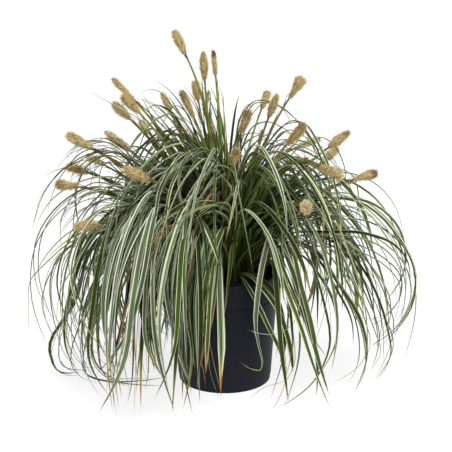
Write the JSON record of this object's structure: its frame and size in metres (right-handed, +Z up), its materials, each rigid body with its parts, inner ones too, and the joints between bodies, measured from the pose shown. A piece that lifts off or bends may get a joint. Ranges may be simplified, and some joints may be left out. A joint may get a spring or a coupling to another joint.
{
  "type": "potted sedge",
  "caption": "Clump of arching striped sedge leaves with upright tan flower spikes, rooted in soil in a deep round nursery pot.",
  "frame": {"origin": "middle of the pot's underside, on the surface the pot stands on", "axes": "+Z up, -Y towards the front of the plant, X along its longest spread"},
  "size_m": [0.5301, 0.4511, 0.48],
  "materials": {
    "pot_plastic": "dark charcoal moulded plastic, faintly scuffed",
    "potting_soil": "dark fibrous potting soil, dull",
    "sedge_leaves": "waxy green blades with cream-white margins, softly shining",
    "flower_stalks": "dry tan and cream bristly spikes on yellow-green stems"
  },
  "bodies": {
    "root": {"pot": "pot_plastic", "soil": "potting_soil", "leaf_tuft_01": "sedge_leaves", "leaf_tuft_02": "sedge_leaves", "leaf_tuft_03": "sedge_leaves", "leaf_tuft_04": "sedge_leaves", "leaf_tuft_05": "sedge_leaves", "leaf_tuft_06": "sedge_leaves", "leaf_tuft_07": "sedge_leaves", "leaf_tuft_08": "sedge_leaves", "leaf_tuft_09": "sedge_leaves", "leaf_tuft_10": "sedge_leaves", "leaf_tuft_11": "sedge_leaves", "leaf_tuft_12": "sedge_leaves", "leaf_tuft_13": "sedge_leaves", "leaf_tuft_14": "sedge_leaves", "leaf_tuft_15": "sedge_leaves", "leaf_tuft_16": "sedge_leaves", "leaf_tuft_17": "sedge_leaves", "leaf_tuft_18": "sedge_leaves", "leaf_tuft_19": "sedge_leaves", "leaf_tuft_20": "sedge_leaves", "leaf_tuft_21": "sedge_leaves", "leaf_tuft_22": "sedge_leaves", "leaf_tuft_23": "sedge_leaves", "leaf_tuft_24": "sedge_leaves", "leaf_tuft_25": "sedge_leaves", "leaf_tuft_26": "sedge_leaves", "leaf_tuft_27": "sedge_leaves", "leaf_tuft_28": "sedge_leaves", "flower_stalk_01": "flower_stalks", "flower_stalk_02": "flower_stalks", "flower_stalk_03": "flower_stalks", "flower_stalk_04": "flower_stalks", "flower_stalk_05": "flower_stalks", "flower_stalk_06": "flower_stalks", "flower_stalk_07": "flower_stalks", "flower_stalk_08": "flower_stalks", "flower_stalk_09": "flower_stalks", "flower_stalk_10": "flower_stalks", "flower_stalk_11": "flower_stalks", "flower_stalk_12": "flower_stalks", "flower_stalk_13": "flower_stalks", "flower_stalk_14": "flower_stalks", "flower_stalk_15": "flower_stalks", "flower_stalk_16": "flower_stalks", "flower_stalk_17": "flower_stalks", "flower_stalk_18": "flower_stalks", "flower_stalk_19": "flower_stalks", "flower_stalk_20": "flower_stalks", "flower_stalk_21": "flower_stalks", "flower_stalk_22": "flower_stalks", "flower_stalk_23": "flower_stalks", "flower_stalk_24": "flower_stalks", "flower_stalk_25": "flower_stalks", "flower_stalk_26": "flower_stalks", "flower_stalk_27": "flower_stalks", "flower_stalk_28": "flower_stalks", "flower_stalk_29": "flower_stalks", "flower_stalk_30": "flower_stalks"}
  },
  "joints": []
}
